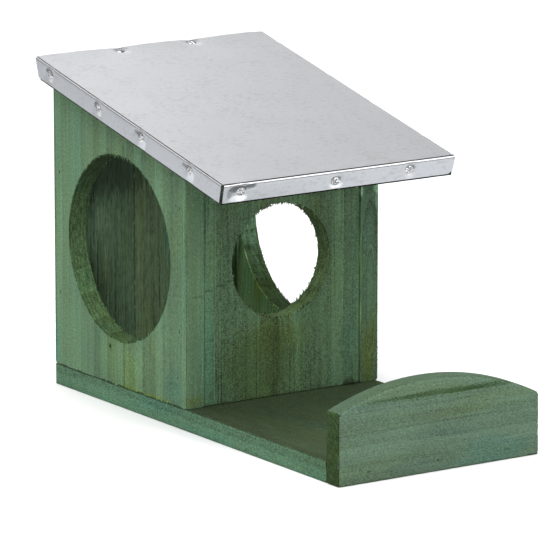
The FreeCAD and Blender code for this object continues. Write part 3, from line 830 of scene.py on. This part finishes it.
def make_base():
    bm = blank(["base_board"], False)[0]
    weather(bm, "Y", 1, chip=0.7 * MM)
    patches = (
        ((-63.5, -122, 6), (4, 26, 14), (0.84, 0.85, 0.8), 1.0),
        ((46, 8, 12), (8, 6, 3), TORN, 0.9),
        ((-58, 120, 12), (6, 26, 2.5), TORN, 0.8),
    )
    wood = stained_wood(
        "base_green", "Y", (0.074, 0.158, 0.09), 1, fuzz_tone=2.1, fuzz_run=0.9, fibre_tone=0.2, teal=0.6,
        olive=0.2, top_stain_and_painted_shade=(0.46, 0.36, 0.24), patches=patches,
    )
    finish_piece(bm, "stained_base", "base_board", wood)


def make_lip():
    """The lip: a block, softer along its top, whose cells are then drawn down to the arc."""
    low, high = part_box("tray_lip")
    bm = block(low, high)
    long_top = [edge for edge in top_edges(bm, high) if abs(edge.verts[0].co.x - edge.verts[1].co.x) > 0.01]
    break_edges(bm, long_top, LIP_TOP_SOFTNESS, 4)
    break_edges(bm, sharp_edges(bm), LIP_ARRIS, 2)
    cut_cells(bm, low, high)
    crown = high.z
    arc_centre = crown - LIP_ARC_RADIUS
    for vert in bm.verts:
        aside = vert.co.x - LIP_CROWN_OFFSET
        top = arc_centre + math.sqrt(LIP_ARC_RADIUS**2 - aside**2)
        vert.co.z *= top / crown
    weather(bm, "X", 2)
    front = low.y / MM
    patches = (
        ((-20, front, 46), (60, 9, 6), OLIVE, 0.35),
        ((-30, front, 43), (28, 5, 1.2), DARK_STREAK, 1.0),
        ((8, front, 43.2), (44, 5, 1.7), (0.5, 0.61, 0.42), 1.0),
        ((38, front, 42.4), (30, 5, 1.6), (0.52, 0.62, 0.44), 1.0),
        ((30, front, 31), (40, 5, 2.2), OLIVE, 0.35),
        ((36, front, 6), (26, 9, 9), TEAL, 0.7),
    )
    wood = stained_wood(
        "lip_green", "X", (0.095, 0.157, 0.104), 2, pith=(-300, 260), ring_pitch=5, ring_tone=0.16,
        cut_tone=(0.24, 0.28, 0.13), top_stain_and_painted_shade=(0.66, 0.67, 0.6), patches=patches,
    )
    finish_piece(bm, "stained_lip", "tray_lip", wood)


def make_side_wall(side, seed, body, patches, figure):
    """A side wall in its two strips, with torn fibres round its hole, along its foot and up
    its roughest edge: the back one on the left, and the front one on the right."""
    front = f"{side}_wall_front_strip"
    back = f"{side}_wall_back_strip"
    panel, low, high = blank([front, back], True)
    centre = (low + high) / 2
    if side == "right":
        centre.y += RIGHT_HOLE_SHIFT_BACK
    centre.z = BASE_TOP + SIDE_HOLE_HEIGHT
    cut_round_hole(panel, X, centre, SIDE_HOLE_RADIUS)
    weather(panel, "Z", seed, chip=1.5 * MM)
    tear_rim(panel, X, centre, SIDE_HOLE_RADIUS, seed)
    seam = Vector((0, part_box(front)[1].y, 0))
    strips = saw_apart(panel, seam, (0, 1, 0))
    chance = random.Random(seed)
    levels = ((low.x, -1), (high.x, 1))
    rim = rim_roots(X, centre, SIDE_HOLE_RADIUS, levels, chance)
    outer, outwards = levels[1] if side == "right" else levels[0]
    foot_front = Vector((outer, low.y + 1 * MM, low.z + 0.6 * MM))
    foot_back = Vector((outer, high.y - 2.5 * MM, foot_front.z))
    edges = edge_roots(foot_front, foot_back, (0.2 * outwards, 0.5, -1), chance)
    rough_y = low.y + 0.3 * MM if side == "right" else high.y - 0.8 * MM
    rough_low = Vector((outer - 0.3 * MM * outwards, rough_y, low.z + 4 * MM))
    rough_high = rough_low + Vector((0, 0, 108 * MM))
    edges += edge_roots(rough_low, rough_high, (0.6 * outwards, 0, -0.8), chance, 1.4 * MM)
    for strip, node, offset in zip(strips, (front, back), (0, 1)):
        for roots, longest, stout in ((rim, 1.8 * MM, 1.0), (edges, 1.5 * MM, 1.3)):
            own = [root for root in roots if (root[0].y > seam.y) == bool(offset)]
            add_fibres(strip, own, chance, longest, stout)
        wood = stained_wood(f"{node}_green", "Z", body, seed + offset * 0.5, patches=patches, **figure)
        finish_piece(strip, f"stained_{node}", node, wood)


LEFT_WALL_PATCHES = (
    ((-63.5, 72, 26), (4, 30, 14), (1.22, 1.22, 1.06), 0.9),
    ((-63.5, 45, 12), (3, 34, 2.6), (1.25, 1.12, 0.5), 0.8),
    ((-63.5, 62, 20), (3, 7, 12), (1.1, 1.0, 0.6), 0.5),
    ((-63.5, 18, 20), (3, 9, 14), TEAL, 0.6),
    ((-63.5, 8, 82), (3, 5, 30), TEAL, 0.4),
    ((-63.5, 139, 25), (3, 5, 18), TEAL, 0.8),
    ((-63.5, 141, 90), (3, 1.8, 120), (0.55, 0.74, 0.74), 0.9),
    ((-57.5, 5.5, 80), (8, 2.5, 120), (0.86, 0.82, 0.78), 1.0),
    ((-55.5, 5.5, 80), (1.2, 3, 60), (1.3, 1.25, 1.2), 0.5),
    ((-58, 5.5, 16), (8, 3, 4), (1.0, 0.85, 0.5), 0.8),
    ((-56, 5.5, 74), (5, 3, 0.9), (0.6, 0.66, 0.6), 0.8),
)
RIGHT_WALL_PATCHES = (
    # Painted light: the inner face brightened all over, and the back of the hole's wall lit pale and bluish,
    # less so lower down
    ((51.5, 80, 70), (1.2, 90, 90), (5.0, 4.7, 3.9), 1.0),
    ((57, 128, 80), (12, 12, 14), (2.6, 2.6, 3.6), 1.0),
    ((57, 116, 66), (12, 8, 8), (1.4, 1.4, 1.7), 1.0),
    ((57, 104, 46), (12, 14, 8), (0.95, 0.9, 0.75), 1.0),
    ((62, 5.5, 121.5), (1.8, 3, 2.6), (3.2, 2.9, 3.3), 1.0),
    ((62.2, 5.5, 115), (0.8, 3, 5), (2.2, 1.9, 2.6), 0.9),
    ((52.4, 5.5, 120.5), (1.1, 3, 3.6), (4.4, 3.8, 4.8), 1.0),
    ((57.5, 5.5, 122), (3.5, 3, 3), (0.6, 0.65, 0.6), 0.8),
    ((63.2, 5.5, 75.8), (1.2, 3, 2.4), CHIPPED, 0.6),
    ((56, 5.5, 98), (3.5, 3, 14), (1.3, 1.35, 1.6), 0.8),
    ((63, 5.5, 90), (1.8, 3, 60), (0.7, 0.8, 0.6), 0.8),
    ((57, 5.5, 28), (6, 3, 26), (1.0, 0.85, 0.4), 1.0),
)


def make_front_wall():
    panel, low, high = blank(["front_wall"], False)
    plane_top(panel, high)
    centre = (low + high) / 2
    centre.x = FRONT_HOLE_OFFSET
    centre.z = BASE_TOP + FRONT_HOLE_HEIGHT
    cut_round_hole(panel, Y, centre, FRONT_HOLE_RADIUS)
    weather(panel, "Z", 5)
    tear_rim(panel, Y, centre, FRONT_HOLE_RADIUS, 5, depth=1.3 * MM)
    chance = random.Random(5)
    roots = rim_roots(Y, centre, FRONT_HOLE_RADIUS, ((low.y, -1), (high.y, 1)), chance, 0.8 * MM)
    add_fibres(panel, roots, chance, 1.9 * MM, 1.8)
    patches = (
        ((-4, 6, 46), (24, 9, 13), (1.0, 0.92, 0.6), 0.8),
        # Painted light across the upper part of the wall, under the roof's overhang
        ((0, 6, 114), (70, 9, 14), (1.35, 1.25, 1.25), 1.0),
        ((-14, 6, 32), (34, 9, 26), (0.72, 0.7, 0.52), 1.0),
        ((-49, 6, 40), (5, 9, 30), TEAL, 0.5),
        ((45, 6, 36), (5, 9, 24), TEAL, 0.4),
        ((46, 6, 12), (7, 3, 4), TORN, 1.0),
        ((-48, 6, 76.4), (5, 3, 0.9), CRACK, 0.9),
        ((-41, 6, 78.5), (5, 3, 0.9), CRACK, 0.9),
        ((-35, 6, 80.3), (4, 3, 0.9), CRACK, 0.9),
        ((0, 6, 10), (60, 3, 5), (0.8, 0.75, 0.6), 0.8),
    )
    wood = stained_wood(
        "front_wall_green", "Z", (0.076, 0.14, 0.07), 5, pith=(-400, 0), fibre_tone=0.55, fuzz_tone=2.1,
        fuzz_run=1.2, blotch_tone=0.2, grain_lines=0.4, cut_tone=(1.8, 1.55, 1.3), bore="Y", hole_foot_painted_light=1.0,
        patches=patches,
    )
    finish_piece(panel, "stained_front_wall", "front_wall", wood)


def make_back_wall():
    nodes = ("back_wall_left_strip", "back_wall_right_strip")
    panel, low, high = blank(nodes, False)
    plane_top(panel, high)
    centre = (low + high) / 2
    centre.x = 0
    centre.z = BASE_TOP + HANGING_HOLE_HEIGHT
    cut_round_hole(panel, Y, centre, HANGING_HOLE_RADIUS, rings=2)
    weather(panel, "Z", 6)
    seam = Vector((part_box(nodes[0])[1].x, 0, 0))
    strips = saw_apart(panel, seam, (1, 0, 0))
    patches = (
        ((-37, 129.5, 66), (0.7, 3, 16), TAN, 0.8),
        ((-44, 129.5, 58), (0.9, 3, 8), TAN, 0.7),
        ((4, 129.5, 78), (3, 3, 24), TEAL, 1.0),
        # Painted shade high on the inner face, under the roof
        ((-30, 129.5, 122), (40, 4, 17), (0.5, 0.52, 0.5), 1.0),
        ((-42, 129.5, 62), (11, 4, 22), (0.75, 0.76, 0.68), 1.0),
    )
    bodies = ((0.08, 0.136, 0.074), (0.108, 0.168, 0.084))
    for strip, node, body, seed in zip(strips, nodes, bodies, (6, 6.5)):
        wood = stained_wood(
            f"{node}_green", "Z", body, seed, pith=(-400, 130), ring_tone=0.2, fibre_tone=0.7, fuzz_tone=1.3,
            fuzz_run=0.2, blotch_tone=0.2, grain_lines=0.45, patches=patches,
        )
        finish_piece(strip, f"stained_{node}", node, wood)


# The roof: a frame that lies on the sheet's top, X across, Y up the slope and Z square to it


def roof_frame():
    low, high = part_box("roof_sheet")
    front_z = low.z + FLANGE * math.cos(ROOF_SLOPE)
    run = (high.z - front_z) / math.sin(ROOF_SLOPE)
    front_y = high.y - run * math.cos(ROOF_SLOPE) - SHEET * math.sin(ROOF_SLOPE)
    turn = Matrix.Rotation(ROOF_SLOPE, 4, "X")
    return Matrix.Translation((0, front_y, front_z)) @ turn, run, high.x


ROOF_FRAME, ROOF_RUN, ROOF_HALF = roof_frame()


def nail_spots():
    """The place under each clout's head and the way its head looks, by node, in the roof frame."""
    drop = -FLANGE_NAIL_DROP
    back = ROOF_RUN - BACK_NAIL_SETBACK
    return {
        "sheet_nails_left": [(Vector((-ROOF_HALF, run, drop)), Vector((-1, 0, 0))) for run in SIDE_NAIL_RUNS],
        "sheet_nails_right": [(Vector((ROOF_HALF, run, drop)), Vector((1, 0, 0))) for run in SIDE_NAIL_RUNS],
        "sheet_nails_front": [(Vector((x, 0, -down)), Vector((0, -1, 0))) for x, down in FRONT_NAILS],
        "sheet_nails_back": [(Vector((x, back, 0)), Vector((0, 0, 1))) for x in BACK_NAILS],
    }


NAIL_SPOTS = nail_spots()


def hammer_marks():
    """Dents and marks round the nails: middle, half sizes, depth, and how dark and how bright.
    Each nail has a dent, a dark mark above it and a bright one below: scuffs with painted shade
    above, and a painted highlight below. The left flange's front nails were struck hardest, and
    the front flange has marks beside its nails too."""
    marks = []
    above = Vector((0, 1.3, 1.3)) * MM
    for node, spots in NAIL_SPOTS.items():
        low, lit = (2.1, 2.4) if node == "sheet_nails_front" else (1.5, 3.6)
        for spot, outwards in spots:
            marks.append((spot, Vector((5.6, 5.6, 5.6)) * MM, NAIL_SUNK + 0.05 * MM, 0, 0))
            # A dark mark of scuffs and painted shade above the nail, and a bright one of painted highlight
            # below
            marks.append((spot + above, Vector((5.4, 4.6, 3.4)) * MM, 0, 0.8, 0))
            marks.append((spot - low * above, Vector((4.8, 4.8, lit)) * MM, 0, 0, 0.8))
    # The left flange's front nails: a pressed tongue below with a painted highlight, and a dent beside with
    # painted shade
    for run in SIDE_NAIL_RUNS[:2]:
        pressed = Vector((-ROOF_HALF, run - 1 * MM, -9 * MM))
        marks.append((pressed, Vector((4, 6.5, 7)) * MM, 0.25 * MM, 0, 0.6))
        beside = Vector((-ROOF_HALF, run + 5 * MM, -2.8 * MM))
        marks.append((beside, Vector((4, 4.5, 2.4)) * MM, 0.2 * MM, 0.6, 0))
    # Marks beside the front flange's nails: dents with painted shade, and painted highlights
    for x, z, wide, high, dark, bright in (
        (-65.5, -2.9, 8.5, 2.6, 1.0, 0),
        (-57.5, -2.1, 5.5, 1.6, 0.9, 0),
        (-71, -5.5, 3.5, 5, 0.5, 0),
        (-65, -8.4, 9, 3.2, 0, 0.9),
        (-2, -8.0, 7, 3.0, 0, 0.8),
    ):
        place = Vector((x, 0, z)) * MM
        marks.append((place, Vector((wide, 4, high)) * MM, 0.3 * MM * dark, dark, bright))
    return marks


HAMMER_MARKS = hammer_marks()


def dent(place):
    """How deep a place in the roof frame was hammered in, and how much scuffing with painted shade and how
    much painted highlight it has there.
    """
    depth, dark, bright = 0.0, 0.0, 0.0
    for middle, half, deepest, darkest, brightest in HAMMER_MARKS:
        offset = place - middle
        if abs(offset.y) > half.y or abs(offset.x) > half.x or abs(offset.z) > half.z:
            continue
        reach = Vector((offset.x / half.x, offset.y / half.y, offset.z / half.z)).length
        if reach < 1:
            share = min(1.0, 1.7 * (1 - reach * reach) ** 2)
            depth = max(depth, deepest * share)
            dark = max(dark, darkest * share)
            bright = max(bright, brightest * share)
    return depth, dark, bright


def make_roof_board():
    """The board under the sheet, pressed in under the nails."""
    edge = SHEET + BOARD_CLEARANCE
    low = Vector((edge - ROOF_HALF, edge, -SHEET - ROOF_BOARD))
    high = Vector((ROOF_HALF - edge, ROOF_RUN - 3 * BOARD_CLEARANCE, -SHEET))
    bm = block(low, high)
    break_edges(bm, top_edges(bm, high), 1.1 * MM, 3)
    break_edges(bm, sharp_edges(bm), 0.2 * MM, 1)
    cut_cells(bm, low, high, ROOF_BOARD_CELL)
    for vert in bm.verts:
        into_end = ROOF_RUN - vert.co.y
        if into_end < BOARD_END:
            lowered = -SHEET - vert.co.z
            near_corner = min(1.0, max(0.0, (abs(vert.co.x) - BOARD_CORNER) / BOARD_CORNER_FADE))
            vert.co.y -= (1 - into_end / BOARD_END) * lowered * near_corner * SLANT_RUN / SLANT_DROP
    weather(bm, "Y", 7, wave=0.05 * MM, chip=0.08 * MM)
    bm.normal_update()
    shift(bm, [vert.normal * -dent(vert.co)[0] for vert in bm.verts])
    bmesh.ops.transform(bm, matrix=ROOF_FRAME, verts=bm.verts)
    shaded = ((0, -49, 136), (100, 6, 4), (0.2, 0.2, 0.22), 1.0)
    wood = stained_wood("roof_board_green", "Y", (0.04, 0.07, 0.04), 7, patches=(shaded,))
    finish_piece(bm, "stained_roof_board", "roof_board", wood)


def border(bm, axis, level):
    """The open edges of a sheet that lie on one line."""
    rim = [edge for edge in bm.edges if edge.is_boundary]
    return [edge for edge in rim if all(abs(vert.co[axis] - level) < 0.01 * MM for vert in edge.verts)]


def pull(bm, edges, move):
    """Extrudes a row of edges and returns the open edges that come of it."""
    geom = bmesh.ops.extrude_edge_only(bm, edges=edges)["geom"]
    bmesh.ops.translate(bm, vec=move, verts=verts_in(geom))
    return [edge for edge in edges_in(geom) if edge.is_boundary]


def fold_down(bm, row, outwards, fold=FOLD):
    """Bends a flange down from a row of edges at the sheet's border."""
    hinge = row[0].verts[0].co - Vector((0, 0, fold))
    axis = Vector((0, 0, 1)).cross(Vector(outwards))
    bend = bmesh.ops.spin(bm, geom=row, cent=hinge, axis=axis, angle=math.pi / 2, steps=FOLD_STEPS)
    row = edges_in(bend["geom_last"])
    cells = round((FLANGE_SHOWN - fold) / (1.2 * MM))
    for step in range(cells):
        edges = pull(bm, row, (0, 0, (fold - FLANGE_SHOWN) / cells))
        row = [edge for edge in edges if abs(edge.verts[0].co.z - edge.verts[1].co.z) < 0.01 * MM]


def trim(bm, faces, point, outwards):
    """Cuts away the part of some faces beyond a plane."""
    edges = dict.fromkeys(edge for face in faces for edge in face.edges)
    verts = dict.fromkeys(vert for face in faces for vert in face.verts)
    geom = [*verts, *edges, *faces]
    bmesh.ops.bisect_plane(bm, geom=geom, plane_co=point, plane_no=outwards, clear_outer=True, dist=1e-7)


def sheet_rise(place):
    """How far the sheet stands off the board: a little everywhere, most at its open back edge."""
    holds = (-ROOF_HALF, *BACK_NAILS, ROOF_HALF)
    arch = 0.0
    for left, right, skew in zip(holds, holds[1:], (0.65, 1.15, 1.6)):
        if left <= place.x <= right:
            arch = math.sin(math.pi * ((place.x - left) / (right - left)) ** skew)
    back_edge = SHEET_LIFT * arch * math.exp((place.y - ROOF_RUN) / (15 * MM))
    ripple = 0.5 + 0.5 * noise.noise(place / (34 * MM) + Vector((4, 9, 2)))
    return min(SHEET_LIFT, back_edge + 0.16 * MM * ripple)


def folded_blank(inner, front):
    """One face with its sides and its front bent down, and the flanges' ends trimmed."""
    middle = Vector((0, (front + ROOF_RUN) / 2, 0))
    half_run = (ROOF_RUN - front) / 2
    place = Matrix.Translation(middle) @ Matrix.Diagonal((inner, half_run, 1, 1))
    across = round(2 * inner / SHEET_CELL)
    upslope = round(2 * half_run / SHEET_CELL)
    bm = bmesh.new()
    bmesh.ops.create_grid(bm, x_segments=across, y_segments=upslope, size=1, matrix=place)
    sides = [(border(bm, X, side * inner), (side, 0, 0)) for side in (-1, 1)]
    front_row = border(bm, Y, front)
    for row, outwards in sides:
        fold_down(bm, row, outwards)
    front_row = pull(bm, front_row, (0, -CORNER_RELIEF, 0))
    fold_line = border(bm, Y, FRONT_FOLD)
    front_row = [edge for edge in front_row if edge in fold_line]
    fold_down(bm, front_row, (0, -1, 0), FRONT_FOLD)

    low = FOLD - 0.01 * MM
    flanges = [face for face in bm.faces if all(vert.co.z < -low for vert in face.verts)]
    back_ends = [face for face in flanges if face.calc_center_median().y > ROOF_RUN - 9 * MM]
    trim(bm, back_ends, Vector((0, ROOF_RUN, -FOLD)), Vector((0, SLANT_DROP, -SLANT_RUN)))
    corner = [face for face in flanges if face.is_valid and face.calc_center_median().y < 0.1 * MM]
    corner = [face for face in corner if face.calc_center_median().x > inner - 6 * MM]
    trim(bm, corner, Vector((inner, 0, CORNER_SNIP - FLANGE)), Vector((2, 0, -3)))
    for vert in bm.verts:
        if vert.co.y < front - 0.05 * MM and vert.co.x > inner - 0.01 * MM:
            vert.co.x += CORNER_EAR * max(0.0, 1 + vert.co.z / FLANGE)
    return bm


def make_roof_sheet(material):
    """The sheet: bent, hammered and lifted as one face, then given its thickness."""
    bm = folded_blank(ROOF_HALF - FOLD, FRONT_FOLD + CORNER_RELIEF)
    bm.normal_update()
    names = ("scuff_and_painted_shade", "rub_and_painted_highlight", "folded", "fold_painted_shade")
    scuff_and_painted_shade, rub_and_painted_highlight, folded, fold_painted_shade = [bm.verts.layers.float.new(name) for name in names]
    inside = Vector((0, ROOF_RUN / 2, -0.1))
    moves = []
    for vert in bm.verts:
        # The dent's depth, its scuffs with painted shade, and its painted highlight
        depth, vert[scuff_and_painted_shade], vert[rub_and_painted_highlight] = dent(vert.co)
        square = max(abs(part) for part in vert.normal)
        vert[folded] = 1.0 if square < 0.995 else 0.0
        # The first step of each fold is marked for a painted dark line
        vert[fold_painted_shade] = 1.0 if abs(abs(vert.normal.z) - math.cos(math.pi / 12)) < 0.01 else 0.0
        outwards = vert.normal if vert.normal.dot(vert.co - inside) > 0 else -vert.normal
        moves.append(outwards * (sheet_rise(vert.co) * (1 - min(1.0, 2 * depth / NAIL_SUNK)) - depth))
    shift(bm, moves)
    bmesh.ops.recalc_face_normals(bm, faces=bm.faces)
    bmesh.ops.solidify(bm, geom=bm.faces[:], thickness=SHEET)
    bm.normal_update()
    break_edges(bm, sharp_edges(bm), 0.1 * MM, 1, clamp=False)
    bmesh.ops.transform(bm, matrix=ROOF_FRAME, verts=bm.verts)
    finish_piece(bm, "folded_roof_sheet", "roof_sheet", material, 30)


def clout(bm, spot, outwards, chance, spread):
    """One clout nail: a flat head, battered on top, on a square pointed shank."""
    before = set(bm.verts)
    lift = Matrix.Translation((0, 0, HEAD_THICKNESS / 2))
    cone(bm, 16, HEAD_RADIUS, 0.9 * HEAD_RADIUS, HEAD_THICKNESS, lift)
    bm.normal_update()
    top = [face for face in bm.faces if face.verts[0] not in before and face.normal.z > 0.9]
    for step in range(2):
        bmesh.ops.inset_region(bm, faces=top, thickness=HEAD_RADIUS * 0.33)
    bmesh.ops.poke(bm, faces=top)
    for vert in [vert for vert in bm.verts if vert not in before]:
        if vert.co.z > 0.5 * HEAD_THICKNESS:
            out = Vector((vert.co.x, vert.co.y)).length / HEAD_RADIUS
            vert.co.z -= 0.32 * MM * out**4 + chance.uniform(0, 0.4 * MM)
            vert.co.x *= chance.uniform(0.86, 1.04)
            vert.co.y *= chance.uniform(0.82, 1.0)
        vert.co.x *= spread
        vert.co.y /= spread
    turned = Matrix.Rotation(math.pi / 4, 4, "Z")
    for start, length, far in ((0, SHANK_LENGTH, SHANK_RADIUS), (SHANK_LENGTH, POINT_LENGTH, POINT_RADIUS)):
        place = Matrix.Translation((0, 0, -start - length / 2)) @ turned
        cone(bm, 4, far, SHANK_RADIUS, length, place)
    tilt_x = Matrix.Rotation(chance.uniform(-0.05, 0.05), 4, "X")
    tilt_y = Matrix.Rotation(chance.uniform(-0.05, 0.05), 4, "Y")
    facing = outwards.to_track_quat("Z", "Y").to_matrix().to_4x4()
    sunk = Matrix.Translation(spot - outwards * NAIL_SUNK)
    fresh = [vert for vert in bm.verts if vert not in before]
    bmesh.ops.transform(bm, matrix=sunk @ facing @ tilt_x @ tilt_y, verts=fresh)


def make_clouts(material):
    chance = random.Random(11)
    for node, spots in NAIL_SPOTS.items():
        bm = bmesh.new()
        spread = FRONT_HEAD_SPREAD if node == "sheet_nails_front" else 1.0
        for spot, outwards in spots:
            clout(bm, spot, outwards, chance, spread)
        bmesh.ops.transform(bm, matrix=ROOF_FRAME, verts=bm.verts)
        finish_piece(bm, f"clout_{node}", node, material, 12)


def carry_over(node, material):
    """A CAD node that stays as it is, in a better finish."""
    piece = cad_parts[node]
    piece.data.materials.clear()
    piece.data.materials.append(material)


make_camera()
make_floor()
make_light()
make_base()
make_lip()
make_side_wall("left", 3, (0.09, 0.164, 0.088), LEFT_WALL_PATCHES, {})
arched = {"pith": (57, 12), "lean": 0.12, "ring_pitch": 3.6, "late_wood": 0.25}
make_side_wall("right", 4, (0.062, 0.118, 0.062), RIGHT_WALL_PATCHES, arched)
make_front_wall()
make_back_wall()
make_roof_board()
make_roof_sheet(galvanised_sheet())
make_clouts(steel("galvanised_nail", (0.74, 0.74, 0.76), 0.2))
brad_finish = steel("stained_over_brad", (0.1, 0.16, 0.1), 0.6)
for node in sorted(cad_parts):
    if "brads" in node:
        carry_over(node, brad_finish)
